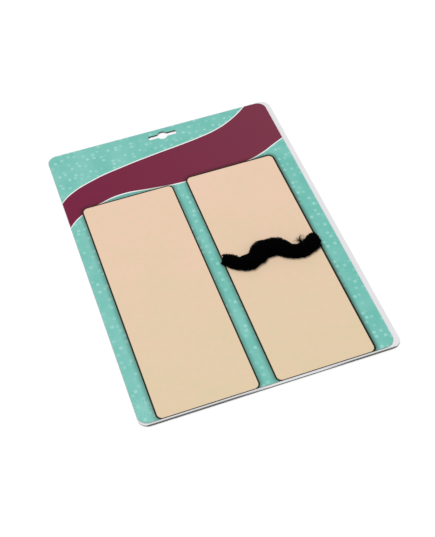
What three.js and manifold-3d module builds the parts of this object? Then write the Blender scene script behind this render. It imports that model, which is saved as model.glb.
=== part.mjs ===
// A fake moustache of black plush, stuck to the card that it is sold on.
// Millimetres, +Z up: the card lies on its back, its printed face is up and its hang slot is towards +Y.
// The origin is on the underside, at the middle of the board's outline.
import * as THREE from "three";
import { mergeVertices } from "three/addons/utils/BufferGeometryUtils.js";
import Module from "manifold-3d";

// White board
const BOARD_WIDTH = 256;
const BOARD_HEIGHT = 355.5;
const BOARD_THICKNESS = 1.2;
const CARD_CORNER_RADIUS = 10;

// Printed card on the board, and the board's bare margins round it
const MARGIN_LEFT = 0.5;
const MARGIN_RIGHT = 5.5;
const MARGIN_TOP = 1;
const MARGIN_BOTTOM = 2.5;
const CARD_THICKNESS = 0.5;

// Hang slot through both: a level slot with a round hole over its middle
const SLOT_WIDTH = 32;
const SLOT_HEIGHT = 5.5;
const SLOT_CORNER_RADIUS = 1.6;
const SLOT_HOLE_DIAMETER = 11.5;
const SLOT_BELOW_EDGE = 10.3;
const SLOT_OFF_CENTRE = 3.2;

// Two release-coated panels. The right one reaches a little further up.
const LEFT_HEADER_HEIGHT = 85.6;
const RIGHT_HEADER_HEIGHT = 82.0;
const PANEL_MARGIN_LEFT = 17.6;
const PANEL_MARGIN_RIGHT = 21.1;
const PANEL_MARGIN_BOTTOM = 0.5;
const PANEL_SPACING = 18.1;
const PANEL_CORNER_RADIUS = 5;
const PANEL_THICKNESS = 0.3;

// Moustache
const MOUSTACHE_LENGTH = 100;
const MOUSTACHE_RISE = 16.6;
const FULL_WIDTH = 24;
const PILE_HEIGHT = 7;
const SEAT_HEIGHT = 134.4;
const SEAT_OFF_CENTRE = 0.7;

// Adhesive tape between the moustache and its panel
const TAPE_THICKNESS = 0.4;
const TAPE_INSET = 4.5;
const TAPE_LEAST_WIDTH = 3;

// Locks of pile
const LOCK_LENGTH = 13;
const LOCK_WIDTH = 5.2;
const LOCK_DEPTH = 0.9;
const LOCK_SPACING = 4;
const LOCK_LANES = 3;

// The moustache from its left tip to its right tip.
// along is a share of the length, rise of the rise, width of the full width and pile of the pile height.
const SECTIONS = [
  { along: 0.0, rise: 1.01, width: 0.37, pile: 0.5 },
  { along: 0.03, rise: 0.9, width: 0.55, pile: 0.72 },
  { along: 0.08, rise: 0.62, width: 0.64, pile: 0.84 },
  { along: 0.14, rise: 0.34, width: 0.68, pile: 0.92 },
  { along: 0.215, rise: 0.245, width: 0.8, pile: 0.96 },
  { along: 0.285, rise: 0.3, width: 0.77, pile: 1 },
  { along: 0.35, rise: 0.555, width: 0.79, pile: 1 },
  { along: 0.41, rise: 0.85, width: 0.98, pile: 1 },
  { along: 0.485, rise: 0.83, width: 0.92, pile: 1 },
  { along: 0.55, rise: 0.845, width: 0.975, pile: 1 },
  { along: 0.605, rise: 0.61, width: 0.825, pile: 1 },
  { along: 0.655, rise: 0.27, width: 0.71, pile: 0.98 },
  { along: 0.73, rise: 0.01, width: 0.71, pile: 0.95 },
  { along: 0.805, rise: 0.015, width: 0.745, pile: 0.92 },
  { along: 0.875, rise: 0.19, width: 0.695, pile: 0.88 },
  { along: 0.93, rise: 0.415, width: 0.66, pile: 0.8 },
  { along: 0.975, rise: 0.65, width: 0.565, pile: 0.65 },
  { along: 1.0, rise: 0.695, width: 0.305, pile: 0.5 },
];

// Shares of the full form that the dense undercoat fills below the locks
const UNDERCOAT_WIDTH = 0.92;
const UNDERCOAT_HEIGHT = 0.74;
const ROUNDNESS = 2.4;

// How the pile lies: its nap runs up the card, and it splays outwards at the edges
const NAP = new THREE.Vector3(0.12, 0.75, 0);
const SPLAY = 0.5;
const END_SPLAY = 0.9;
const END_STRETCH = 0.12;
const LOCK_SCATTER = 0.35;
const GOLDEN_RATIO = (1 + Math.sqrt(5)) / 2;
const LOWEST_LOCK = 0.25;
const LOWEST_ROOT = -0.95;
const LEAST_CLIMB = 0.02;
const FIRST_TIP = -0.05;
const LAST_TIP = 1.08;
const SPREAD_STEP = 0.02;
const LEAST_SPREAD = 0.5;
const END_REACH = 2;

// One lock from root to tip: reach is a share of its length, width of its width, depth of its depth,
// and lift is a share of the full form's height above the moustache's back.
const LOCK_PROFILE = [
  { reach: 0.0, width: 0.8, depth: 0.4, lift: 0.55 },
  { reach: 0.35, width: 1.0, depth: 1.0, lift: 0.84 },
  { reach: 0.7, width: 0.8, depth: 0.9, lift: 0.96 },
  { reach: 1.0, width: 0.08, depth: 0.15, lift: 1.0 },
];

// A lock's section: across is a share of half its width, up a share of its depth.
const LOCK_SECTION = [
  { across: 1, up: 0 },
  { across: 0.5, up: 0.85 },
  { across: -0.5, up: 0.85 },
  { across: -1, up: 0 },
  { across: 0, up: -1 },
];

// Facets
const SPANS_PER_SECTION = 2;
const DOME_STEPS = 8;
const CURVE_STEPS = 6;
const MERGE_DISTANCE = 1e-4;

const wasm = await Module();
wasm.setup();

const materials = {
  board: { color: "#e4e3e4", roughness: 0.85, metalness: 0 },
  print: { color: "#76c7b9", roughness: 0.42, metalness: 0 },
  panel: { color: "#e6cbac", roughness: 0.38, metalness: 0 },
  tape: { color: "#e9e4d6", roughness: 0.6, metalness: 0 },
  pile: { color: "#0a0a0c", roughness: 0.75, metalness: 0 },
};

function piece(name, geometry, material) {
  const mesh = new THREE.Mesh(geometry, new THREE.MeshStandardMaterial(materials[material]));
  mesh.name = name;
  return mesh;
}

// Outlines

function roundedRectangle(path, width, height, radius) {
  const x = width / 2;
  const y = height / 2;
  path.moveTo(-x + radius, -y);
  path.lineTo(x - radius, -y);
  path.absarc(x - radius, -y + radius, radius, -Math.PI / 2, 0, false);
  path.lineTo(x, y - radius);
  path.absarc(x - radius, y - radius, radius, 0, Math.PI / 2, false);
  path.lineTo(-x + radius, y);
  path.absarc(-x + radius, y - radius, radius, Math.PI / 2, Math.PI, false);
  path.lineTo(-x, -y + radius);
  path.absarc(-x + radius, -y + radius, radius, Math.PI, Math.PI * 1.5, false);
  return path;
}

function slotOutline(cx, cy) {
  const x = SLOT_WIDTH / 2;
  const y = SLOT_HEIGHT / 2;
  const r = SLOT_CORNER_RADIUS;
  const hole = SLOT_HOLE_DIAMETER / 2;
  const meet = Math.asin(y / hole);
  const path = new THREE.Path();
  path.moveTo(cx + x - r, cy - y);
  path.absarc(cx + x - r, cy - y + r, r, -Math.PI / 2, 0, false);
  path.absarc(cx + x - r, cy + y - r, r, 0, Math.PI / 2, false);
  path.absarc(cx, cy, hole, meet, Math.PI - meet, false);
  path.absarc(cx - x + r, cy + y - r, r, Math.PI / 2, Math.PI, false);
  path.absarc(cx - x + r, cy - y + r, r, Math.PI, Math.PI * 1.5, false);
  path.absarc(cx, cy, hole, Math.PI + meet, Math.PI * 2 - meet, false);
  path.closePath();
  return path;
}

function sheet(shape, thickness) {
  return new THREE.ExtrudeGeometry(shape, {
    depth: thickness,
    bevelEnabled: false,
    curveSegments: CURVE_STEPS,
  });
}

// Card

const cardWidth = BOARD_WIDTH - MARGIN_LEFT - MARGIN_RIGHT;
const cardHeight = BOARD_HEIGHT - MARGIN_TOP - MARGIN_BOTTOM;
const cardX = (MARGIN_LEFT - MARGIN_RIGHT) / 2;
const cardY = (MARGIN_BOTTOM - MARGIN_TOP) / 2;
const slotX = cardX + SLOT_OFF_CENTRE;
const slotY = cardY + cardHeight / 2 - SLOT_BELOW_EDGE;

function slottedSheet(width, height, x, y, thickness) {
  const shape = roundedRectangle(new THREE.Shape(), width, height, CARD_CORNER_RADIUS);
  shape.holes.push(slotOutline(slotX - x, slotY - y));
  return sheet(shape, thickness);
}

function makeBackingBoard() {
  return piece("backing_board", slottedSheet(BOARD_WIDTH, BOARD_HEIGHT, 0, 0, BOARD_THICKNESS), "board");
}

function makePrintedCard() {
  const plate = slottedSheet(cardWidth, cardHeight, cardX, cardY, CARD_THICKNESS);
  const card = piece("printed_card", plate, "print");
  card.position.set(cardX, cardY, BOARD_THICKNESS);
  return card;
}

// Panels

const panelWidth = (cardWidth - PANEL_MARGIN_LEFT - PANEL_MARGIN_RIGHT - PANEL_SPACING) / 2;
const panelBottom = cardY - cardHeight / 2 + PANEL_MARGIN_BOTTOM;
const leftPanelX = cardX - cardWidth / 2 + PANEL_MARGIN_LEFT + panelWidth / 2;
const rightPanelX = leftPanelX + panelWidth + PANEL_SPACING;
const printedFace = BOARD_THICKNESS + CARD_THICKNESS;
const panelFace = printedFace + PANEL_THICKNESS;

function makePanel(name, x, headerHeight) {
  const height = cardHeight - headerHeight - PANEL_MARGIN_BOTTOM;
  const shape = roundedRectangle(new THREE.Shape(), panelWidth, height, PANEL_CORNER_RADIUS);
  const panel = piece(name, sheet(shape, PANEL_THICKNESS), "panel");
  panel.position.set(x, panelBottom + height / 2, printedFace);
  return panel;
}

// Moustache, in its own frame: x from its middle, y from the lowest point of its centre line, z from its back

const spine = new THREE.CatmullRomCurve3(
  SECTIONS.map(
    (s) => new THREE.Vector3((s.along - 0.5) * MOUSTACHE_LENGTH, s.rise * MOUSTACHE_RISE, 0),
  ),
);
const girth = new THREE.CatmullRomCurve3(
  SECTIONS.map((s) => new THREE.Vector3(s.width * FULL_WIDTH, s.pile * PILE_HEIGHT, 0)),
);

// One station on the centre line: its place, its two directions in the plane, its width and its pile height.
function stationAt(t) {
  const along = spine.getTangent(t);
  const size = girth.getPoint(t);
  return {
    centre: spine.getPoint(t),
    along,
    across: new THREE.Vector3(-along.y, along.x, 0),
    width: size.x,
    pile: size.y,
  };
}

// Height of the full pile over a place across a station, where share runs from -1 to 1.
function domeHeight(station, share) {
  const inside = Math.max(0, 1 - Math.abs(share) ** ROUNDNESS);
  return station.pile * inside ** (1 / ROUNDNESS);
}

// A closed geometry from rings of as many points each, all convex, with a flat end or a point at each end.
function loft(rings) {
  const positions = rings.flat().flatMap((p) => [p.x, p.y, p.z]);
  const sides = rings[0].length;
  const last = (rings.length - 1) * sides;
  const index = [];
  for (let r = 0; r < rings.length - 1; r += 1) {
    for (let i = 0; i < sides; i += 1) {
      const a = r * sides + i;
      const b = r * sides + ((i + 1) % sides);
      index.push(a, b, a + sides, b, b + sides, a + sides);
    }
  }
  for (let i = 1; i < sides - 1; i += 1) {
    index.push(0, i + 1, i);
    index.push(last, last + i, last + i + 1);
  }
  const geometry = new THREE.BufferGeometry();
  geometry.setAttribute("position", new THREE.Float32BufferAttribute(positions, 3));
  geometry.setIndex(index);
  return geometry;
}

// Dense undercoat on the knitted back: flat below, domed above.
function undercoatRing(station) {
  const ring = [];
  for (let i = 0; i <= DOME_STEPS; i += 1) {
    const share = Math.cos((Math.PI * i) / DOME_STEPS);
    const height = i % DOME_STEPS === 0 ? 0 : domeHeight(station, share) * UNDERCOAT_HEIGHT;
    const reach = (share * station.width * UNDERCOAT_WIDTH) / 2;
    ring.push(station.centre.clone().addScaledVector(station.across, reach).setZ(height));
  }
  return ring;
}

function undercoat() {
  const spans = (SECTIONS.length - 1) * SPANS_PER_SECTION;
  const rings = [];
  for (let i = 0; i <= spans; i += 1) {
    rings.push(undercoatRing(stationAt(i / spans)));
  }
  return loft(rings);
}

// A repeatable scatter from 0 to 1 for lock number n: the golden ratio's multiples never fall into step.
function scatter(n) {
  const turns = n * GOLDEN_RATIO;
  return turns - Math.floor(turns);
}

// How far the rows spread at a share of the width, where 1 is their spacing on the centre line.
function spreadAt(t, share) {
  const before = stationAt(Math.max(0, t - SPREAD_STEP));
  const after = stationAt(Math.min(1, t + SPREAD_STEP));
  const placeOf = (s) => s.centre.clone().addScaledVector(s.across, (share * s.width) / 2);
  const ratio = placeOf(after).distanceTo(placeOf(before)) / after.centre.distanceTo(before.centre);
  return Math.max(LEAST_SPREAD, ratio);
}

// One lock: a flat tongue that leaves the undercoat, follows the full form and tapers to its tip.
function lock(station, tipShare, t, n) {
  const half = station.width / 2;
  const end = Math.max(0, 1 - Math.min(t, 1 - t) / END_STRETCH) * Math.sign(t - 0.5);
  const lie = NAP.clone()
    .addScaledVector(station.across, tipShare * SPLAY)
    .addScaledVector(station.along, end * END_SPLAY)
    .normalize();
  const flat = new THREE.Vector3(-lie.y, lie.x, 0);
  const size = (station.width / FULL_WIDTH) ** 0.5;
  const climb = lie.dot(station.across) / half;
  const wanted = LOCK_LENGTH * size * (1 + LOCK_SCATTER * (scatter(n) - 0.5));
  const length = Math.min(wanted, (tipShare - LOWEST_ROOT) / Math.max(climb, LEAST_CLIMB));
  const width = LOCK_WIDTH * spreadAt(t, tipShare / 2);
  const tip = station.centre
    .clone()
    .addScaledVector(station.across, tipShare * half)
    .addScaledVector(station.along, end * END_REACH);
  const rings = LOCK_PROFILE.map((step) =>
    LOCK_SECTION.map((corner) => {
      const back = length * (1 - step.reach);
      const side = (corner.across * step.width * width) / 2;
      const share = tipShare - back * climb + (flat.dot(station.across) * side) / half;
      const form = Math.max(domeHeight(station, share) * step.lift, station.pile * LOWEST_LOCK);
      const place = tip.clone().addScaledVector(lie, -back).addScaledVector(flat, side);
      return place.setZ(form + corner.up * step.depth * LOCK_DEPTH);
    }),
  );
  return loft(rings);
}

// A geometry as a solid that can be joined to others.
function solid(geometry) {
  const bare = new THREE.BufferGeometry();
  bare.setAttribute("position", geometry.getAttribute("position"));
  bare.setIndex(geometry.index);
  const merged = mergeVertices(bare, MERGE_DISTANCE);
  return new wasm.Manifold(
    new wasm.Mesh({
      numProp: 3,
      vertProperties: merged.attributes.position.array,
      triVerts: new Uint32Array(merged.index.array),
    }),
  );
}

// A joined solid as a geometry again.
function geometryOf(body) {
  const mesh = body.getMesh();
  const geometry = new THREE.BufferGeometry();
  geometry.setAttribute("position", new THREE.BufferAttribute(mesh.vertProperties, 3));
  geometry.setIndex(new THREE.BufferAttribute(mesh.triVerts, 1));
  geometry.computeVertexNormals();
  return geometry;
}

// The undercoat with its locks joined on, in rows along the centre line and lanes across it.
function makeMoustache() {
  let body = solid(undercoat());
  const rows = Math.round(spine.getLength() / LOCK_SPACING);
  let n = 0;
  for (let row = 0; row < rows; row += 1) {
    for (let lane = 0; lane < LOCK_LANES; lane += 1) {
      n += 1;
      const t = spine.getUtoTmapping((row + 0.25 + 0.5 * (lane % 2)) / rows);
      const station = stationAt(t);
      const step = (lane + LOCK_SCATTER * (scatter(n + 0.5) - 0.5)) / (LOCK_LANES - 1);
      const tipShare = FIRST_TIP + (LAST_TIP - FIRST_TIP) * step;
      body = body.add(solid(lock(station, tipShare, t, n)));
    }
  }
  // The outer skin is the largest body, so a hollow sealed between locks is filled.
  const [outer] = body.decompose().sort((a, b) => b.volume() - a.volume());
  return piece("moustache", geometryOf(outer), "pile");
}

// Adhesive tape: a strip that follows the centre line, inset from the moustache's outline all round.
function makeTape() {
  const spans = SECTIONS.length - 1;
  const endShare = TAPE_INSET / spine.getLength();
  const upper = [];
  const lower = [];
  for (let i = 0; i <= spans; i += 1) {
    const station = stationAt(spine.getUtoTmapping(endShare + (i / spans) * (1 - 2 * endShare)));
    const half = Math.max(station.width / 2 - TAPE_INSET, TAPE_LEAST_WIDTH / 2);
    upper.push(station.centre.clone().addScaledVector(station.across, half));
    lower.push(station.centre.clone().addScaledVector(station.across, -half));
  }
  const outline = [...lower, ...upper.reverse()].map((p) => new THREE.Vector2(p.x, p.y));
  return piece("adhesive_tape", sheet(new THREE.Shape(outline), TAPE_THICKNESS), "tape");
}

// Assembly

const part = new THREE.Group();
part.add(makeBackingBoard());
part.add(makePrintedCard());
part.add(makePanel("panel_left", leftPanelX, LEFT_HEADER_HEIGHT));
part.add(makePanel("panel_right", rightPanelX, RIGHT_HEADER_HEIGHT));

const seat = new THREE.Group();
seat.position.set(rightPanelX + SEAT_OFF_CENTRE, panelBottom + SEAT_HEIGHT, panelFace);
seat.add(makeTape());
const moustache = makeMoustache();
moustache.position.z = TAPE_THICKNESS;
seat.add(moustache);
part.add(seat);

export default part;
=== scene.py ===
# %% [markdown]
# # A black plush moustache on its display card
#
# The real object is a strip of black pile fabric, cut to the shape of a handlebar moustache and
# stuck on a printed paperboard card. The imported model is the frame: it says where each piece is and
# how large it is. This lesson gives the flat pieces their printed and paper finishes, and grows
# real hairs where the model has a plain solid.

import bpy
import numpy as np
from mathutils import Matrix, Vector


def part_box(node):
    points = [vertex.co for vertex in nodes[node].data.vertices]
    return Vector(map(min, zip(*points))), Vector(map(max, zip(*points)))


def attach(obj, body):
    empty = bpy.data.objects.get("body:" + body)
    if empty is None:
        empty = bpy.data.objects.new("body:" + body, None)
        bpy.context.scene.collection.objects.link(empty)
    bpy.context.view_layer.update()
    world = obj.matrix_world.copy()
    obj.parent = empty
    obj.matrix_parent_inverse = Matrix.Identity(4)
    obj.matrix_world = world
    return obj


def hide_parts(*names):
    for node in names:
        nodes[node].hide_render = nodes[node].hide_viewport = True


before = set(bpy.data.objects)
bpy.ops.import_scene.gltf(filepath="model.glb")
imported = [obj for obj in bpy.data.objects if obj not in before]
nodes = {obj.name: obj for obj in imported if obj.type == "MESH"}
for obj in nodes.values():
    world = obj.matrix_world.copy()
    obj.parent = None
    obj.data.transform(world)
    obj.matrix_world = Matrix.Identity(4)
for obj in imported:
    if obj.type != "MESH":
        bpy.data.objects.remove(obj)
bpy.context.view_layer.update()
MM = 0.001
print("nodes:", sorted(nodes))

# %% [markdown]
# ## Camera
#
# The card lies on its back and the camera looks down at it from low on its left. The distance, the
# direction and the small roll were worked out from where the card's and panels' edges fall in the
# photograph, with the card 250 mm wide. Blender measures a lens against the long side of the frame.

# %% Set the camera
PHOTO_LONG_SIDE = 537
FOCAL_PIXELS = 1062.0
ELEVATION = np.radians(51.69)
AZIMUTH = np.radians(-16.97)
ROLL = np.radians(-2.93)
CAMERA_DISTANCE = 1051.1 * MM
TARGET = Vector((-4.11, -31.61, 1.7)) * MM
SENSOR = 36.0

back = Vector(
    (
        np.sin(AZIMUTH) * np.cos(ELEVATION),
        -np.cos(AZIMUTH) * np.cos(ELEVATION),
        np.sin(ELEVATION),
    )
)
level_right = Vector((np.cos(AZIMUTH), np.sin(AZIMUTH), 0))
level_up = back.cross(level_right)
right = level_right * np.cos(ROLL) + level_up * np.sin(ROLL)
up = back.cross(right)

lens = bpy.data.cameras.new("camera")
lens.sensor_width = SENSOR
lens.lens = SENSOR * FOCAL_PIXELS / PHOTO_LONG_SIDE
camera = bpy.data.objects.new("camera", lens)
bpy.context.scene.collection.objects.link(camera)
turn = Matrix((right, up, back)).transposed().to_4x4()
camera.matrix_world = Matrix.Translation(TARGET + back * CAMERA_DISTANCE) @ turn
bpy.context.scene.camera = camera
print("lens", round(lens.lens, 2), "mm at", [round(v, 3) for v in camera.location])

# %% [markdown]
# ## Colours and nodes
#
# Screen colours are written as hex codes, but a shader works in linear light, so one function turns
# one into the other. A second function adds a node, sets it and links it, which keeps each material
# short enough to read. It hands back the socket that the next node needs.


# %% Helpers for materials
def colour(code):
    shares = [int(code[i : i + 2], 16) / 255 for i in (1, 3, 5)]
    linear = [s / 12.92 if s <= 0.04045 else ((s + 0.055) / 1.055) ** 2.4 for s in shares]
    return (*linear, 1.0)


def add(tree, kind, settings=None, inputs=None, output=0):
    node = tree.nodes.new(kind)
    for name, value in (settings or {}).items():
        setattr(node, name, value)
    for key, value in (inputs or {}).items():
        if isinstance(value, bpy.types.NodeSocket):
            tree.links.new(value, node.inputs[key])
        else:
            node.inputs[key].default_value = value
    return node.outputs[output] if node.outputs else None


def new_material(name):
    material = bpy.data.materials.new(name)
    material.use_nodes = True
    material.node_tree.nodes.clear()
    return material, material.node_tree


# Sockets of the Mix node when it mixes colours
SHARE, UNDER, OVER, MIXED = 0, 6, 7, 2
RGBA = {"data_type": "RGBA"}
# A face whose normal rises less than this is a cut edge
CUT_TILT = 0.5


def in_mm(tree, low):
    """Where a point lies, in millimetres from a corner of its piece."""
    place = add(tree, "ShaderNodeTexCoord", output="Object")
    moved = add(tree, "ShaderNodeVectorMath", {"operation": "SUBTRACT"}, {0: place, 1: low})
    return add(tree, "ShaderNodeVectorMath", {"operation": "SCALE"}, {0: moved, "Scale": 1 / MM})


def finish_surface(tree, surface, **shader):
    """Closes a material with one Principled shader. Names are its inputs, with _ for a space."""
    inputs = {name.replace("_", " "): value for name, value in shader.items()}
    inputs["Base Color"] = surface
    bsdf = add(tree, "ShaderNodeBsdfPrincipled", None, inputs)
    add(tree, "ShaderNodeOutputMaterial", None, {"Surface": bsdf})


print("sRGB #808080 is", round(colour("#808080")[0], 3), "in linear light")

# %% [markdown]
# ## Backing board
#
# The board is uncoated white paperboard, about 1.2 mm thick. Its face is soft and matt with fine
# fibres. Where it was cut, grey pulp shows inside as faint layers. On the cut walls that face along
# the card the pulp is painted far darker, partly its own grey and partly painted shade, which makes
# the thin dark line along the foot of the card and inside the hang slot. Along the long sides the cut
# is painted pale, as lit. A narrow band along the foot of the face is painted grey as well, more so
# towards both corners: a painted shadow along the foot. Noise at the scale of a fibre would be finer
# than a pixel, so it is drawn about four times as coarse as it is.

# %% Uncoated paperboard
board_low, board_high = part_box("backing_board")
FIBRE = 1.6
BOARD_CLOUD = 40.0
# The wave texture turns 20 radians in a unit, so this gives about four layers to a millimetre
LAYER_SCALE = 1.2
BOARD_FACE = colour("#dfdee0")
BOARD_SHADE = colour("#d4d3d6")
# Cut colours with painted light: the dark pulp holds painted shade, the pale cut is painted as lit
SHADED_PULP = colour("#1d1c1a")
SHADED_PULP_LAYER = colour("#2a2825")
PAINTED_LIT_CUT = colour("#dddbd8")
# A painted shadow along the foot of the board, deepest towards both corners
PAINTED_FOOT_SHADOW = colour("#747472")
FOOT_SHADOW_WIDTH = 1.0
FOOT_SHADOW_FAINTEST_AT = 150.0
FOOT_SHADOW_START = 25.0
FOOT_SHADOW_FULL = 55.0

material, tree = new_material("uncoated_paperboard")
place = in_mm(tree, board_low)
fibres = add(tree, "ShaderNodeTexNoise", None, {"Vector": place, "Scale": 1 / FIBRE, "Detail": 4.0})
clouds = add(
    tree, "ShaderNodeTexNoise", None, {"Vector": place, "Scale": 1 / BOARD_CLOUD, "Detail": 2.0}
)
paper = add(tree, "ShaderNodeMix", RGBA, {SHARE: clouds, UNDER: BOARD_FACE, OVER: BOARD_SHADE}, MIXED)
layers = add(
    tree,
    "ShaderNodeTexWave",
    {"bands_direction": "Z"},
    {"Vector": place, "Scale": LAYER_SCALE, "Distortion": 2.0},
)
shaded_pulp = add(tree, "ShaderNodeMix", RGBA, {SHARE: layers, UNDER: SHADED_PULP, OVER: SHADED_PULP_LAYER}, MIXED)
normal = add(tree, "ShaderNodeNewGeometry", output="Normal")
tilt = add(tree, "ShaderNodeSeparateXYZ", None, {0: normal}, "Z")
steep = add(tree, "ShaderNodeMath", {"operation": "ABSOLUTE"}, {0: tilt})
cut = add(tree, "ShaderNodeMath", {"operation": "LESS_THAN"}, {0: steep, 1: CUT_TILT})
endwise_shade = add(tree, "ShaderNodeMath", {"operation": "ABSOLUTE"}, {0: tilt.node.outputs["Y"]})
# Painted shade on cut walls facing along the card, painted light on those along the long sides
shaded_pulp = add(tree, "ShaderNodeMix", RGBA, {SHARE: endwise_shade, UNDER: PAINTED_LIT_CUT, OVER: shaded_pulp}, MIXED)
across = add(tree, "ShaderNodeSeparateXYZ", None, {0: place}, "X")
above_foot = across.node.outputs["Y"]
off_faintest_shadow = add(tree, "ShaderNodeMath", {"operation": "SUBTRACT"}, {0: across, 1: FOOT_SHADOW_FAINTEST_AT})
off_faintest_shadow = add(tree, "ShaderNodeMath", {"operation": "ABSOLUTE"}, {0: off_faintest_shadow})
foot_shadow_strength = add(
    tree,
    "ShaderNodeMapRange",
    None,
    {"Value": off_faintest_shadow, "From Min": FOOT_SHADOW_START, "From Max": FOOT_SHADOW_FULL},
)
# Painted shadow: a grey band along the foot, stronger towards both corners
foot_shadow = add(tree, "ShaderNodeMath", {"operation": "LESS_THAN"}, {0: above_foot, 1: FOOT_SHADOW_WIDTH})
foot_shadow = add(tree, "ShaderNodeMath", {"operation": "MULTIPLY"}, {0: foot_shadow, 1: foot_shadow_strength})
face = add(tree, "ShaderNodeMix", RGBA, {SHARE: foot_shadow, UNDER: paper, OVER: PAINTED_FOOT_SHADOW}, MIXED)
surface = add(tree, "ShaderNodeMix", RGBA, {SHARE: cut, UNDER: face, OVER: shaded_pulp}, MIXED)
bump = add(
    tree, "ShaderNodeBump", None, {"Height": fibres, "Strength": 0.25, "Distance": 0.05 * MM}
)
finish_surface(tree, surface, Roughness=0.85, IOR=1.45, Normal=bump)
nodes["backing_board"].data.materials.clear()
nodes["backing_board"].data.materials.append(material)
print("board", [round((h - l) / MM, 1) for l, h in zip(board_low, board_high)], "mm")

# %% [markdown]
# ## Printed card
#
# The face is offset-printed paperboard with a satin coat, so it has flat inks and a soft gloss. All
# of the print is one flat surface, which is why it is drawn in the shader: each ink is a mask laid
# over the ink below. The masks are measured in millimetres on the card, so they stay where they are
# from any side.

# %% Where a point lies on the card
card_low, card_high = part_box("printed_card")
left_low, left_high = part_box("panel_left")
right_low, right_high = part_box("panel_right")
CARD_WIDTH = (card_high.x - card_low.x) / MM
CARD_HEIGHT = (card_high.y - card_low.y) / MM
CURVE_TOP = 400.0

material, tree = new_material("offset_printed_satin_card")
place = in_mm(tree, card_low)
across_card = add(tree, "ShaderNodeSeparateXYZ", None, {0: place}, "X")
up_card = across_card.node.outputs["Y"]
share_across = add(
    tree, "ShaderNodeMath", {"operation": "DIVIDE"}, {0: across_card, 1: CARD_WIDTH}
)
print("card", round(CARD_WIDTH, 1), "mm wide")

# %% [markdown]
# ### Wave band
#
# A maroon band runs across the head of the card like a flag in the wind, with a white line along
# each edge. Two curves give the heights of those edges. Their points were read off where the
# lines cross the card, in millimetres from its left edge and its bottom edge.

# %% Heights of the band's two edges
BAND_TOP = [
    (0, 283),
    (10, 291.5),
    (40, 304),
    (75, 311.5),
    (108, 316.5),
    (145, 321),
    (165, 324),
    (185, 328.5),
    (205, 337),
    (227, 352),
    (250, 372),
]
BAND_BOTTOM = [
    (0, 246.5),
    (10, 256),
    (40, 269),
    (62, 273),
    (95, 269.5),
    (125, 266.5),
    (165, 268),
    (205, 272),
    (225, 278.5),
    (235, 283.5),
    (250, 290.5),
]
KEYLINE_HALF_WIDTH = 0.65


def height_above(points):
    """How far a point on the card lies above a curve, in millimetres."""
    share = add(tree, "ShaderNodeFloatCurve", None, {"Value": share_across})
    curve = share.node.mapping.curves[0]
    for x, y in points[1:-1]:
        curve.points.new(x / CARD_WIDTH, y / CURVE_TOP)
    for end, (x, y) in ((curve.points[0], points[0]), (curve.points[-1], points[-1])):
        end.location = (x / CARD_WIDTH, y / CURVE_TOP)
    share.node.mapping.update()
    height = add(tree, "ShaderNodeMath", {"operation": "MULTIPLY"}, {0: share, 1: CURVE_TOP})
    return add(tree, "ShaderNodeMath", {"operation": "SUBTRACT"}, {0: up_card, 1: height})


over_top = height_above(BAND_TOP)
over_bottom = height_above(BAND_BOTTOM)
below = add(tree, "ShaderNodeMath", {"operation": "LESS_THAN"}, {0: over_top, 1: 0.0})
above = add(tree, "ShaderNodeMath", {"operation": "GREATER_THAN"}, {0: over_bottom, 1: 0.0})
band = add(tree, "ShaderNodeMath", {"operation": "MULTIPLY"}, {0: below, 1: above})
lines = []
for gap in (over_top, over_bottom):
    size = add(tree, "ShaderNodeMath", {"operation": "ABSOLUTE"}, {0: gap})
    lines.append(
        add(tree, "ShaderNodeMath", {"operation": "LESS_THAN"}, {0: size, 1: KEYLINE_HALF_WIDTH})
    )
keyline = add(tree, "ShaderNodeMath", {"operation": "MAXIMUM"}, {0: lines[0], 1: lines[1]})
print("band drawn through", len(BAND_TOP), "and", len(BAND_BOTTOM), "heights")

# %% [markdown]
# ### Outline and soft shade round the panels
#
# The two panels have a thin dark printed outline and a soft shade round them, both stronger on the
# right. The shade is partly a printed drop shadow and partly painted shade: it deepens towards the
# right, away from the light on the left.
# Both follow the distance from a rounded rectangle. One function gives that distance for either
# panel, and the nearer one counts.

# %% Distance from the nearest panel
PANEL_CORNER = 5.0
OUTLINE_LEFT = 1.6
OUTLINE_RIGHT = 2.0
SHADE_REACH = 7.0
# Painted shade: the shade's strength grows from the middle to the right, away from the light
SHADE_LEFT = 0.66
SHADE_RIGHT = 1.0
GROWS_FROM = 0.5
GROWS_TO = 0.92
on_card = add(tree, "ShaderNodeCombineXYZ", None, {"X": across_card, "Y": up_card})


def off_panel(low, high):
    """How far a point on the card lies outside a panel, in millimetres."""
    middle = ((low + high) / 2 - card_low) / MM
    core = (high - low) / 2 / MM
    core = (core.x - PANEL_CORNER, core.y - PANEL_CORNER, 0)
    reach = on_card
    for operation, value in (
        ("SUBTRACT", (middle.x, middle.y, 0)),
        ("ABSOLUTE", None),
        ("SUBTRACT", core),
        ("MAXIMUM", (0, 0, 0)),
    ):
        inputs = {0: reach} if value is None else {0: reach, 1: value}
        reach = add(tree, "ShaderNodeVectorMath", {"operation": operation}, inputs)
    reach = add(tree, "ShaderNodeVectorMath", {"operation": "LENGTH"}, {0: reach}, "Value")
    return add(tree, "ShaderNodeMath", {"operation": "SUBTRACT"}, {0: reach, 1: PANEL_CORNER})


off_left = off_panel(left_low, left_high)
off_right = off_panel(right_low, right_high)
off_both = add(tree, "ShaderNodeMath", {"operation": "MINIMUM"}, {0: off_left, 1: off_right})


def from_left_to_right(left, right):
    """A value that grows from the middle of the card to the right panel's far edge."""
    ends = {"From Min": GROWS_FROM, "From Max": GROWS_TO, "To Min": left, "To Max": right}
    return add(tree, "ShaderNodeMapRange", None, {"Value": share_across, **ends})


width = from_left_to_right(OUTLINE_LEFT, OUTLINE_RIGHT)
outline = add(tree, "ShaderNodeMath", {"operation": "LESS_THAN"}, {0: off_both, 1: width})
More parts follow.
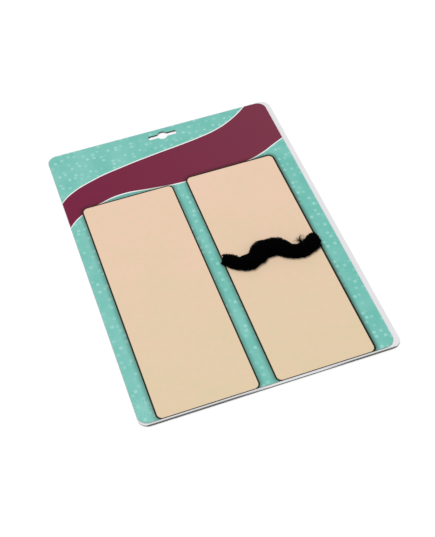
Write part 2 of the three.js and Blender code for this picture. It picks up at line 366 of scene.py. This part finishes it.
# The shade deepens to the right as painted shade
depth = from_left_to_right(SHADE_LEFT, SHADE_RIGHT)
shade = add(
    tree,
    "ShaderNodeMapRange",
    {"interpolation_type": "SMOOTHSTEP"},
    {"Value": off_both, "From Max": SHADE_REACH, "To Min": depth, "To Max": 0.0},
)
panel_heights = [round(v.y / MM, 1) for v in (left_high - left_low, right_high - right_low)]
print("panels", panel_heights, "mm high")

# %% [markdown]
# ### Light marks
#
# The turquoise ground carries faint light square flecks, about 3 mm across and 9 mm apart, some
# stronger than others. A Voronoi texture scatters them, and its colour gives each one its own
# strength. A plain faint burst of rays is printed near the lower left corner. Its rays come from a
# cosine of the angle round its centre.

# %% Flecks and burst
FLECK_SPACING = 8.5
FLECK_CORE = 0.1
FLECK_REACH = 0.26
FLECK_STRENGTH = 0.6
FLECK_SCATTER = 0.85
FAINTEST_FLECK = 0.2
BURST_CENTRE = (8.7, 17.0, 0)
BURST_REACH = 15.0
BURST_RAYS = 16
BURST_STRENGTH = 0.75

scatter = add(
    tree,
    "ShaderNodeTexVoronoi",
    {"voronoi_dimensions": "2D", "distance": "CHEBYCHEV"},
    {"Vector": place, "Scale": 1 / FLECK_SPACING, "Randomness": FLECK_SCATTER},
)
weight = add(tree, "ShaderNodeSeparateColor", None, {0: scatter.node.outputs["Color"]})
weight = add(tree, "ShaderNodeMapRange", None, {"Value": weight, "To Min": FAINTEST_FLECK})
fleck = add(
    tree,
    "ShaderNodeMapRange",
    {"interpolation_type": "SMOOTHSTEP"},
    {
        "Value": scatter,
        "From Min": FLECK_CORE,
        "From Max": FLECK_REACH,
        "To Min": FLECK_STRENGTH,
        "To Max": 0.0,
    },
)
fleck = add(tree, "ShaderNodeMath", {"operation": "MULTIPLY"}, {0: fleck, 1: weight})

arm = add(tree, "ShaderNodeVectorMath", {"operation": "SUBTRACT"}, {0: on_card, 1: BURST_CENTRE})
span = add(tree, "ShaderNodeVectorMath", {"operation": "LENGTH"}, {0: arm}, "Value")
arm_x = add(tree, "ShaderNodeSeparateXYZ", None, {0: arm}, "X")
turn = add(
    tree, "ShaderNodeMath", {"operation": "ARCTAN2"}, {0: arm_x.node.outputs["Y"], 1: arm_x}
)
turn = add(tree, "ShaderNodeMath", {"operation": "MULTIPLY"}, {0: turn, 1: BURST_RAYS})
rays = add(tree, "ShaderNodeMath", {"operation": "COSINE"}, {0: turn})
fade = add(
    tree,
    "ShaderNodeMapRange",
    {"interpolation_type": "SMOOTHSTEP"},
    {"Value": span, "From Max": BURST_REACH, "To Min": BURST_STRENGTH, "To Max": 0.0},
)
burst = add(
    tree, "ShaderNodeMath", {"operation": "MULTIPLY", "use_clamp": True}, {0: rays, 1: fade}
)
marks = add(tree, "ShaderNodeMath", {"operation": "MAXIMUM"}, {0: fleck, 1: burst})
print("flecks", FLECK_SPACING, "mm apart, burst with", BURST_RAYS, "rays")

# %% [markdown]
# ### Inks
#
# The turquoise is a little cloudy and deepens towards the right. The maroon is redder towards the
# lower left. The shade is multiplied over the inks, so it deepens each one and doesn't hide it. Where
# the card was cut, its grey core shows, darkened with painted shade.

# %% Lay the inks
TURQUOISE = colour("#7bbeb4")
TURQUOISE_DEEP = colour("#6ab5a9")
LIGHT_MARK = colour("#a8dad2")
MAROON_LEFT = colour("#6f1037")
MAROON_RIGHT = colour("#722a40")
WHITE_INK = colour("#eeeeec")
OUTLINE_INK = colour("#141f16")
SHADE_TINT = colour("#93746d")
# The card's cut: grey core darkened with painted shade
SHADED_PAPER_CORE = colour("#55534e")
INK_CLOUD = 22.0
DEEPENS = 0.2

clouds = add(
    tree, "ShaderNodeTexNoise", None, {"Vector": place, "Scale": 1 / INK_CLOUD, "Detail": 3.0}
)
clouds = add(
    tree, "ShaderNodeMath", {"operation": "MULTIPLY_ADD"}, {0: share_across, 1: DEEPENS, 2: clouds}
)
clouds = add(
    tree, "ShaderNodeMapRange", None, {"Value": clouds, "From Min": 0.4, "From Max": 0.8}
)
ground = add(
    tree, "ShaderNodeMix", RGBA, {SHARE: clouds, UNDER: TURQUOISE, OVER: TURQUOISE_DEEP}, MIXED
)
maroon = add(
    tree, "ShaderNodeMix", RGBA, {SHARE: share_across, UNDER: MAROON_LEFT, OVER: MAROON_RIGHT}, MIXED
)
normal = add(tree, "ShaderNodeNewGeometry", output="Normal")
tilt = add(tree, "ShaderNodeSeparateXYZ", None, {0: normal}, "Z")
cut = add(tree, "ShaderNodeMath", {"operation": "LESS_THAN"}, {0: tilt, 1: CUT_TILT})
shaded = {**RGBA, "blend_type": "MULTIPLY"}
surface = ground
for mask, ink, way in (
    (marks, LIGHT_MARK, RGBA),
    (band, maroon, RGBA),
    (keyline, WHITE_INK, RGBA),
    (shade, SHADE_TINT, shaded),
    (outline, OUTLINE_INK, RGBA),
    (cut, SHADED_PAPER_CORE, RGBA),
):
    surface = add(tree, "ShaderNodeMix", way, {SHARE: mask, UNDER: surface, OVER: ink}, MIXED)

fibres = add(tree, "ShaderNodeTexNoise", None, {"Vector": place, "Scale": 1 / FIBRE, "Detail": 3.0})
gloss = add(
    tree, "ShaderNodeMapRange", None, {"Value": fibres, "To Min": 0.36, "To Max": 0.48}
)
bump = add(
    tree, "ShaderNodeBump", None, {"Height": fibres, "Strength": 0.12, "Distance": 0.03 * MM}
)
finish_surface(
    tree, surface, Roughness=gloss, IOR=1.5, Specular_IOR_Level=0.14, Normal=bump
)
nodes["printed_card"].data.materials.clear()
nodes["printed_card"].data.materials.append(material)
print("inks laid on the card")

# %% [markdown]
# ## Release paper panels
#
# The moustache peels off a beige paper with a release coat. It is smooth and satin. Its tint is
# slightly cloudy and goes from pinkish at the head to sandy at the foot. Its cut edge is a little
# lighter than its face.

# %% Silicone-coated release paper
PANEL_PINK = colour("#e3c2ab")
PANEL_SAND = colour("#d6c3a1")
PANEL_EDGE = colour("#e2d0b6")
PANEL_CLOUD = 45.0
PANEL_MOTTLE = 7.0

material, tree = new_material("silicone_release_paper")
place = in_mm(tree, card_low)
clouds = add(
    tree, "ShaderNodeTexNoise", None, {"Vector": place, "Scale": 1 / PANEL_CLOUD, "Detail": 3.0}
)
mottle = add(
    tree, "ShaderNodeTexNoise", None, {"Vector": place, "Scale": 1 / PANEL_MOTTLE, "Detail": 2.0}
)
tint = add(tree, "ShaderNodeMath", {"operation": "ADD"}, {0: clouds, 1: mottle})
height = add(tree, "ShaderNodeSeparateXYZ", None, {0: place}, "Y")
height = add(tree, "ShaderNodeMath", {"operation": "DIVIDE"}, {0: height, 1: CARD_HEIGHT})
tint = add(tree, "ShaderNodeMath", {"operation": "SUBTRACT"}, {0: tint, 1: height})
tint = add(tree, "ShaderNodeMapRange", None, {"Value": tint, "From Min": 0.1, "From Max": 1.1})
face = add(tree, "ShaderNodeMix", RGBA, {SHARE: tint, UNDER: PANEL_PINK, OVER: PANEL_SAND}, MIXED)
normal = add(tree, "ShaderNodeNewGeometry", output="Normal")
tilt = add(tree, "ShaderNodeSeparateXYZ", None, {0: normal}, "Z")
cut = add(tree, "ShaderNodeMath", {"operation": "LESS_THAN"}, {0: tilt, 1: CUT_TILT})
surface = add(tree, "ShaderNodeMix", RGBA, {SHARE: cut, UNDER: face, OVER: PANEL_EDGE}, MIXED)
fibres = add(tree, "ShaderNodeTexNoise", None, {"Vector": place, "Scale": 1 / FIBRE, "Detail": 3.0})
gloss = add(
    tree, "ShaderNodeMapRange", None, {"Value": fibres, "To Min": 0.42, "To Max": 0.55}
)
bump = add(
    tree, "ShaderNodeBump", None, {"Height": fibres, "Strength": 0.15, "Distance": 0.03 * MM}
)
finish_surface(
    tree, surface, Roughness=gloss, IOR=1.43, Specular_IOR_Level=0.25, Normal=bump
)
for name in ("panel_left", "panel_right"):
    nodes[name].data.materials.clear()
    nodes[name].data.materials.append(material)
print("panels finished")

# %% [markdown]
# ## Adhesive tape
#
# Double-sided tape holds the moustache to the panel. It is all but hidden. It is a thin tissue in
# glue, so it is dull and pale with a faint crossing of fibres.

# %% Double-sided tissue tape
TAPE_PALE = colour("#ece7da")
TAPE_DARK = colour("#d6cfbd")
TISSUE_SPACING = 1.5

material, tree = new_material("double_sided_tissue_tape")
place = in_mm(tree, card_low)
tissue = add(
    tree, "ShaderNodeTexBrick", None, {"Vector": place, "Scale": 1 / TISSUE_SPACING}, "Fac"
)
surface = add(tree, "ShaderNodeMix", RGBA, {SHARE: tissue, UNDER: TAPE_PALE, OVER: TAPE_DARK}, MIXED)
bump = add(
    tree, "ShaderNodeBump", None, {"Height": tissue, "Strength": 0.2, "Distance": 0.02 * MM}
)
finish_surface(tree, surface, Roughness=0.7, IOR=1.47, Normal=bump)
nodes["adhesive_tape"].data.materials.clear()
nodes["adhesive_tape"].data.materials.append(material)
print("tape finished")

# %% [markdown]
# ## The moustache's form
#
# The moustache is described once, as sections from its left tip to its right tip, with the values
# that the model was made from. Everything that grows on it asks these sections where it is: the
# centre line, the width, and how high the pile stands.

# %% Sections along the moustache
LENGTH = 100.0
RISE = 16.6
FULL_WIDTH = 24.0
PILE_HEIGHT = 7.0
SEAT_HEIGHT = 134.4
SEAT_OFF_CENTRE = 0.7
ROUNDNESS = 2.4
# share of the length, of the rise, of the full width and of the pile height
SECTIONS = np.array(
    [
        (0.0, 1.01, 0.37, 0.5),
        (0.03, 0.9, 0.55, 0.72),
        (0.08, 0.62, 0.64, 0.84),
        (0.14, 0.34, 0.68, 0.92),
        (0.215, 0.245, 0.8, 0.96),
        (0.285, 0.3, 0.77, 1.0),
        (0.35, 0.555, 0.79, 1.0),
        (0.41, 0.85, 0.98, 1.0),
        (0.485, 0.83, 0.92, 1.0),
        (0.55, 0.845, 0.975, 1.0),
        (0.605, 0.61, 0.825, 1.0),
        (0.655, 0.27, 0.71, 0.98),
        (0.73, 0.01, 0.71, 0.95),
        (0.805, 0.015, 0.745, 0.92),
        (0.875, 0.19, 0.695, 0.88),
        (0.93, 0.415, 0.66, 0.8),
        (0.975, 0.65, 0.565, 0.65),
        (1.0, 0.695, 0.305, 0.5),
    ]
)
tape_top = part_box("adhesive_tape")[1].z
seat = np.array(
    (
        (right_low.x + right_high.x) / 2 / MM + SEAT_OFF_CENTRE,
        right_low.y / MM + SEAT_HEIGHT,
        tape_top / MM,
    )
)


def sections_at(t):
    """Smooth values between the sections: one cubic through each four neighbours."""
    rows = np.vstack(
        [2 * SECTIONS[0] - SECTIONS[1], SECTIONS, 2 * SECTIONS[-1] - SECTIONS[-2]]
    )
    place = np.clip(t, 0, 1) * (len(SECTIONS) - 1)
    first = np.minimum(place.astype(int), len(SECTIONS) - 2)
    u = (place - first)[:, None]
    a, b, c, d = (rows[first + k] for k in range(4))
    return 0.5 * (
        2 * b + (c - a) * u + (2 * a - 5 * b + 4 * c - d) * u**2 + (3 * b - a - 3 * c + d) * u**3
    )


def stations(t):
    """Centres, the two directions in the plane, half widths and pile heights, in millimetres."""
    step = 0.002
    rows = sections_at(t)
    scale = np.array((LENGTH, RISE))
    along = (sections_at(np.minimum(t + step, 1)) - sections_at(np.maximum(t - step, 0)))[:, :2]
    along = along * scale
    along /= np.linalg.norm(along, axis=1, keepdims=True)
    across = np.column_stack([-along[:, 1], along[:, 0]])
    centre = np.column_stack([(rows[:, 0] - 0.5) * LENGTH, rows[:, 1] * RISE])
    return centre, along, across, rows[:, 2] * FULL_WIDTH / 2, rows[:, 3] * PILE_HEIGHT


def dome(share):
    """The rounded section of the pile: 1 over the centre line, 0 at the edges."""
    return np.maximum(0, 1 - np.abs(share) ** ROUNDNESS) ** (1 / ROUNDNESS)


fine = np.linspace(0, 1, 801)
steps = np.linalg.norm(np.diff(stations(fine)[0], axis=0), axis=1)
arc = np.concatenate([[0], np.cumsum(steps)])
print("centre line", round(arc[-1], 1), "mm, seat at", seat.round(2))

# %% [markdown]
# ## Undercoat
#
# Under the long hairs, pile fabric has a dense felt on a knitted back. Nobody sees through it, but
# it has to be there, or light would shine between the hairs. It is one closed skin through rings
# along the centre line, a little smaller than the full form.

# %% Mesh helper
def add_piece(name, points, triangles, material, slot):
    """A mesh piece from points in millimetres. It rides on the card with the CAD pieces."""
    mesh = bpy.data.meshes.new(name)
    mesh.from_pydata((points * MM).tolist(), [], triangles.tolist())
    mesh.polygons.foreach_set("use_smooth", np.full(len(triangles), True))
    mesh.update()
    mesh.materials.append(material)
    piece = bpy.data.objects.new(name, mesh)
    bpy.context.scene.collection.objects.link(piece)
    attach(piece, "root")
    print(name, len(points), "points", len(triangles), "triangles")
    return piece


# %% [markdown]
# ### Pile fibre
#
# The hairs are acrylic fibre, dyed black right through. One fibre alone has a soft gloss, but in deep
# pile the gaps between the hairs swallow nearly all of it, so the whole reads as a dull black. Its
# two colours are near black, and its specular level is set far below that of a smooth plastic.

# %% Acrylic pile
PILE_BLACK = colour("#010101")
PILE_SHEEN = colour("#030306")
TUFT = 3.0

material, tree = new_material("acrylic_pile")
place = in_mm(tree, card_low)
tufts = add(tree, "ShaderNodeTexNoise", None, {"Vector": place, "Scale": 1 / TUFT, "Detail": 3.0})
surface = add(tree, "ShaderNodeMix", RGBA, {SHARE: tufts, UNDER: PILE_BLACK, OVER: PILE_SHEEN}, MIXED)
gloss = add(
    tree, "ShaderNodeMapRange", None, {"Value": tufts, "To Min": 0.42, "To Max": 0.62}
)
finish_surface(tree, surface, Roughness=gloss, IOR=1.49, Specular_IOR_Level=0.02)
pile = material

# %% Undercoat skin
UNDERCOAT_WIDTH = 0.93
UNDERCOAT_HEIGHT = 0.72
UNDERCOAT_RINGS = 120
UNDERCOAT_SIDES = 28
FELT_GRAIN = 0.12

rng = np.random.default_rng(11)
centre, along, across, half, height = stations(np.linspace(0, 1, UNDERCOAT_RINGS))
turns = np.linspace(0, np.pi, UNDERCOAT_SIDES)
share = np.cos(turns)
rings = np.zeros((UNDERCOAT_RINGS, UNDERCOAT_SIDES, 3))
rings[:, :, :2] = (
    centre[:, None] + across[:, None] * (share * UNDERCOAT_WIDTH)[None, :, None] * half[:, None, None]
)
rings[:, :, 2] = height[:, None] * dome(share)[None] * UNDERCOAT_HEIGHT
grain = rng.normal(0, FELT_GRAIN, rings.shape[:2])
grain[:, (0, -1)] = 0
rings[:, :, 2] = np.maximum(rings[:, :, 2] + grain, 0)
rings[:, (0, -1), 2] = 0

corner = np.arange(UNDERCOAT_RINGS * UNDERCOAT_SIDES).reshape(UNDERCOAT_RINGS, UNDERCOAT_SIDES)
beside = np.roll(corner, -1, axis=1)
a, b, c, d = (v.ravel() for v in (corner[:-1], beside[:-1], corner[1:], beside[1:]))
skin = [np.column_stack([a, b, c]), np.column_stack([b, d, c])]
for ring, order in ((corner[0], (0, 2, 1)), (corner[-1], (0, 1, 2))):
    fan = np.column_stack([np.full(UNDERCOAT_SIDES - 2, ring[0]), ring[1:-1], ring[2:]])
    skin.append(fan[:, order])
undercoat = add_piece(
    "undercoat", rings.reshape(-1, 3) + seat, np.vstack(skin), pile, "black_plush"
)
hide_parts("moustache")

# %% [markdown]
# ## Hairs
#
# Each hair is a closed spike with three sides: a flat root, a few joints and a point. Real acrylic
# fibre is about 0.04 mm thick. It is drawn about three times as thick, because fewer hairs then
# close the surface. Thousands of them are made at once as rows of one array, which takes a second
# where a loop would take minutes. The random numbers have fixed seeds, so each run grows the same
# moustache.

# %% Spikes from centre lines
HAIR_SIDES = 3
LAST_JOINT_SHARE = 0.6


def spikes(lines, radius):
    """Closed spikes along lines of equally many points. Returns points and triangles."""
    count, stops = lines.shape[:2]
    rings = stops - 1
    along = np.gradient(lines, axis=1)
    along /= np.linalg.norm(along, axis=2, keepdims=True) + 1e-9
    side = np.cross(along, np.array((0.0, 0.0, 1.0)))
    side /= np.linalg.norm(side, axis=2, keepdims=True) + 1e-9
    top = np.cross(side, along)
    taper = np.linspace(1, LAST_JOINT_SHARE, rings)
    points = np.zeros((count, rings * HAIR_SIDES + 1, 3))
    for ring in range(rings):
        for k in range(HAIR_SIDES):
            angle = 2 * np.pi * k / HAIR_SIDES
            out = side[:, ring] * np.cos(angle) + top[:, ring] * np.sin(angle)
            place = lines[:, ring] + out * (radius * taper[ring])[:, None]
            points[:, ring * HAIR_SIDES + k] = place
    points[:, -1] = lines[:, -1]
    faces = [(0, 2, 1)]
    for ring in range(rings - 1):
        for k in range(HAIR_SIDES):
            a = ring * HAIR_SIDES + k
            b = ring * HAIR_SIDES + (k + 1) % HAIR_SIDES
            faces += [(a, b, a + HAIR_SIDES), (b, b + HAIR_SIDES, a + HAIR_SIDES)]
    last = (rings - 1) * HAIR_SIDES
    for k in range(HAIR_SIDES):
        faces.append((last + k, last + (k + 1) % HAIR_SIDES, rings * HAIR_SIDES))
    shift = (np.arange(count) * (rings * HAIR_SIDES + 1))[:, None, None]
    return points.reshape(-1, 3), (np.array(faces)[None] + shift).reshape(-1, 3)


sample = np.zeros((1, 4, 3))
sample[0, :, 0] = np.arange(4)
print("a short hair has", len(spikes(sample, np.ones(1))[1]), "triangles")

# %% [markdown]
# ### How the pile lies
#
# The nap of the fabric runs up the card, so the lower edge of the moustache is crisp and its upper
# edge is fuzzy. Hairs splay outwards at both tips. They gather in locks: each hair leans towards the
# middle of its lock, which gives the soft tufted look of plush that has been handled.

# %% Grow hairs on the form
NAP = np.array((0.12, 0.75))
SPLAY = 0.5
END_SPLAY = 0.8
END_STRETCH = 0.12
END_REACH = 0.7
HAIR_LENGTH = 9.0
LENGTH_RANGE = (0.65, 1.15)
LOWEST_ROOT = -1.0
LEAST_LENGTH = 1.2
LEAST_CLIMB = 0.01
LOWEST_TIP = -0.93
HIGHEST_TIP = 1.06
LOCK_SPAN = 2.12
LOCKS = 240
LOCK_SEED = 5
REACHES = np.array((0.0, 0.28, 0.62, 1.0))
LIFTS = np.array((0.62, 0.86, 0.98, 0.97))
FRINGE_HEIGHT = 0.28
TURN = 0.16
BOW = 0.35


def turned(direction, angle):
    """Flat directions, each turned by its own angle."""
    x, y = direction[:, 0], direction[:, 1]
    c, s = np.cos(angle), np.sin(angle)
    return np.column_stack([x * c - y * s, x * s + y * c])


def lock_tips():
    """Where the locks of the pile end: scattered over the form, in millimetres."""
    places = np.random.default_rng(LOCK_SEED).random((LOCKS, 2))
    t = np.interp(places[:, 0] * arc[-1], arc, fine)
    centre, _, across, half, _ = stations(t)
    share = places[:, 1] * LOCK_SPAN - 1
    return centre + across * (share * half)[:, None]


def grow(count, seed, depth, clump):
    """Centre lines of hairs whose tips lie all over the form. Clump is how far a lock pulls them."""
    rng = np.random.default_rng(seed)
    t = np.interp(rng.random(count) * arc[-1], arc, fine)
    tip_share = rng.uniform(LOWEST_TIP, HIGHEST_TIP, count)
    half = stations(t)[3]
    keep = rng.random(count) < half / half.max()
    t, tip_share = t[keep], tip_share[keep]
    count = len(t)
    centre, along, across, half, height = stations(t)

    end = np.maximum(0, 1 - np.minimum(t, 1 - t) / END_STRETCH) * np.sign(t - 0.5)
    lie = NAP + across * (tip_share * SPLAY)[:, None] + along * (end * END_SPLAY)[:, None]
    lie = turned(lie, rng.normal(0, TURN, count))
    lie /= np.linalg.norm(lie, axis=1, keepdims=True)
    climb = (lie * across).sum(axis=1) / half
    length = HAIR_LENGTH * rng.uniform(*LENGTH_RANGE, count) * (half * 2 / FULL_WIDTH) ** 0.5
    room = (tip_share - LOWEST_ROOT) / np.maximum(climb, LEAST_CLIMB)
    shortened = np.minimum(length, np.maximum(room, LEAST_LENGTH))
    length = np.where(climb > LEAST_CLIMB, shortened, length)

    reach_out = along * (end * END_REACH * rng.random(count))[:, None]
    tip = centre + across * (tip_share * half)[:, None] + reach_out
    locks = lock_tips()
    gaps = ((tip[:, None] - locks[None]) ** 2).sum(axis=2)
    pull = (clump * rng.random(count))[:, None]
    tip = tip * (1 - pull) + locks[gaps.argmin(axis=1)] * pull

    lines = np.zeros((count, len(REACHES), 3))
    bow = rng.normal(0, BOW, count)
    flat = np.column_stack([-lie[:, 1], lie[:, 0]])
    layer = rng.uniform(*depth, count)
    fringe = FRINGE_HEIGHT * rng.uniform(0.3, 1, count)
    for k, (reach, lift) in enumerate(zip(REACHES, LIFTS)):
        place = tip - lie * (length * (1 - reach))[:, None]
        place += flat * (np.sin(np.pi * reach) * bow)[:, None]
        share = ((place - centre) * across).sum(axis=1) / half
        lines[:, k, :2] = place
        lines[:, k, 2] = height * np.maximum(dome(share) * lift * layer, fringe)
    return lines + seat


def add_hairs(name, lines, radius, seed):
    thick = radius * np.random.default_rng(seed).uniform(0.7, 1.2, len(lines))
    return add_piece(name, *spikes(lines, thick), pile, "black_plush")


HAIR_RADIUS = 0.065
# name, hairs, seed, depth as shares of the pile height, and how far a lock pulls its hairs
COATS = (
    ("underfur", 24000, 21, (0.78, 0.98), 0.55),
    ("cover_hair", 24000, 23, (0.92, 1.05), 0.75),
)
for coat, count, seed, depth, clump in COATS:
    lines = grow(count, seed, depth, clump)
    on_left = lines[:, 0, 0] < seat[0]
    add_hairs(f"{coat}_left", lines[on_left], HAIR_RADIUS, seed + 100)
    add_hairs(f"{coat}_right", lines[~on_left], HAIR_RADIUS, seed + 101)

# %% [markdown]
# ### Edge hairs
#
# The cut edge of pile fabric is never a clean line: short hairs stand out from it, most of them
# along the upper edge and round the tips. These hairs start at the edge, leave it at loose angles
# and curl a little. They grow in small tufts. Each row below says where along the moustache a group
# grows, on which edge, how many tufts it has, and how long they are, how far they lean out towards
# the tips and how widely they turn. They are drawn about 0.2 mm thick, five times the real fibre, so
# that they still show against the pale paper.

# %% Hairs that leave the edge
CURL_STOPS = 8
EDGE_RADIUS = 0.1
UPPER, LOWER = 1, -1
HAIRS_IN_TUFT = 18
# as a share of the moustache's length
TUFT_WIDTH = 0.006
HAIR_TURN = 0.22
CURL = 0.4


def edge_hairs(rows, seed):
    """Centre lines of loose hairs. A row is (from, to, edge, tufts, length, lean, spread)."""
    rng = np.random.default_rng(seed)
    groups = []
    for first, last, edge, tufts, length, lean, spread in rows:
        count = tufts * HAIRS_IN_TUFT
        tuft = np.repeat(np.arange(tufts), HAIRS_IN_TUFT)
        t = rng.uniform(first, last, tufts)[tuft] + rng.normal(0, TUFT_WIDTH, count)
        t = np.clip(t, 0, 1)
        centre, along, across, half, height = stations(t)
        way = across * edge + along * ((t - 0.5) * 2 * lean)[:, None]
        way = turned(way, rng.normal(0, spread, tufts)[tuft] + rng.normal(0, HAIR_TURN, count))
        way /= np.linalg.norm(way, axis=1, keepdims=True)
        curl = turned(way, np.full(count, np.pi / 2)) * rng.normal(0, CURL, count)[:, None]
        size = length * rng.uniform(0.3, 1.0, tufts)[tuft] * rng.uniform(0.5, 1.0, count)
        start = rng.uniform(0.88, 1.0, count)
        root = centre + across * (edge * start * half)[:, None]
        base = height * dome(start) * rng.uniform(0.3, 0.9, count)
        lines = np.zeros((count, CURL_STOPS, 3))
        rise = rng.normal(0.1, 0.25, count)
        for k, u in enumerate(np.linspace(0, 1, CURL_STOPS)):
            lines[:, k, :2] = root + way * (size * u)[:, None] + curl * (size * u * u)[:, None]
            lines[:, k, 2] = np.maximum(base * (1 - 0.6 * u) + rise * size * u * (1 - u), 0.1)
        groups.append(lines)
    return np.vstack(groups) + seat


EDGE_ROWS = (
    (0.0, 1.0, UPPER, 150, 2.2, 0.2, 0.5),
    (0.0, 0.14, UPPER, 34, 3.4, 0.5, 0.5),
    (0.9, 1.0, UPPER, 16, 2.6, 0.6, 0.6),
    (0.0, 0.05, LOWER, 12, 1.8, 0.8, 0.5),
    (0.0, 1.0, LOWER, 30, 0.9, 0.1, 0.7),
    (0.76, 0.9, LOWER, 11, 4.6, 0.2, 0.5),
)
add_hairs("edge_hair", edge_hairs(EDGE_ROWS, 31), EDGE_RADIUS, 32)

# %% [markdown]
# ### Stray hairs
#
# A few hairs have worked loose. A tuft stands up from the dip near the right tip, and one long hair
# beside it bends round into a loop. At its real 0.04 mm a single hair would vanish at this distance,
# so the loop is drawn 0.5 mm thick.

# %% Loose tuft and loop
TUFT_ROWS = (
    (0.795, 0.805, UPPER, 3, 12.0, 0.7, 0.12),
    (0.02, 0.1, UPPER, 2, 5.0, 0.2, 0.5),
    (0.3, 0.4, LOWER, 1, 4.0, 0.1, 0.5),
    (0.74, 0.86, LOWER, 3, 5.0, 0.2, 0.5),
)
STRAY_RADIUS = 0.12
add_hairs("stray_hairs", edge_hairs(TUFT_ROWS, 33), STRAY_RADIUS, 34)

LOOP_STOPS = 28
LOOP_START = 0.82
LOOP_HAIR_RADIUS = 0.25
LOOP_RADIUS = 2.3
LOOP_RISE = 5.0
LOOP_FROM = -120
LOOP_SWEEP = 330
centre, along, across, half, height = (v[0] for v in stations(np.array([LOOP_START])))
u = np.linspace(0, 1, LOOP_STOPS)
turn = np.radians(LOOP_FROM + u * LOOP_SWEEP)
loop = np.zeros((1, LOOP_STOPS, 3))
middle = centre + across * half * 0.9 + np.array((0.5, LOOP_RISE))
loop[0, :, 0] = middle[0] + LOOP_RADIUS * np.cos(turn)
loop[0, :, 1] = middle[1] + LOOP_RADIUS * np.sin(turn)
loop[0, :, 2] = 1.2 + 1.5 * np.sin(np.pi * u)
loop[0, 0] = (*(centre + across * half * 0.85), height * 0.5)
add_hairs("looped_hair", loop + seat, LOOP_HAIR_RADIUS, 35)

# %% [markdown]
# ## Floor and light
#
# The card lies on a plain white surface. A large soft light stands far behind the card's upper left,
# as the short shadow inside the hang slot shows, and a bright even sky fills the rest. The light is
# far enough away to fall evenly on the whole card.

# %% Stage
FLOOR_SIZE = 4.0
FLOOR_WHITE = colour("#fcfcfc")
FLOOR_CLOUD = colour("#fafafa")
mesh = bpy.data.meshes.new("floor")
half = FLOOR_SIZE / 2
corners = [(-half, -half, 0), (half, -half, 0), (half, half, 0), (-half, half, 0)]
mesh.from_pydata(corners, [], [(0, 1, 2, 3)])
floor = bpy.data.objects.new("floor", mesh)
bpy.context.scene.collection.objects.link(floor)
material, tree = new_material("matt_white_paint")
place = add(tree, "ShaderNodeTexCoord", output="Object")
clouds = add(tree, "ShaderNodeTexNoise", None, {"Vector": place, "Scale": 3.0})
surface = add(
    tree, "ShaderNodeMix", RGBA, {SHARE: clouds, UNDER: FLOOR_WHITE, OVER: FLOOR_CLOUD}, MIXED
)
finish_surface(tree, surface, Roughness=0.9, IOR=1.45, Specular_IOR_Level=0.1)
mesh.materials.append(material)

# %% Lights
scene = bpy.context.scene
scene.view_settings.view_transform = "Standard"
SKY_STRENGTH = 0.76
world = bpy.data.worlds.new("studio")
scene.world = world
world.use_nodes = True
world.node_tree.nodes["Background"].inputs["Color"].default_value = colour("#ffffff")
world.node_tree.nodes["Background"].inputs["Strength"].default_value = SKY_STRENGTH

LIGHT_FROM = Vector((-0.6, 0.72, 1.7))
SUN_STRENGTH = 1.23
lamp = bpy.data.lights.new("far_softbox", "SUN")
lamp.energy = SUN_STRENGTH
lamp.angle = np.radians(30)
light = bpy.data.objects.new("far_softbox", lamp)
light.rotation_euler = LIGHT_FROM.to_track_quat("Z", "Y").to_euler()
scene.collection.objects.link(light)
print("light of", SUN_STRENGTH, "W per square metre from", [round(v, 2) for v in LIGHT_FROM])
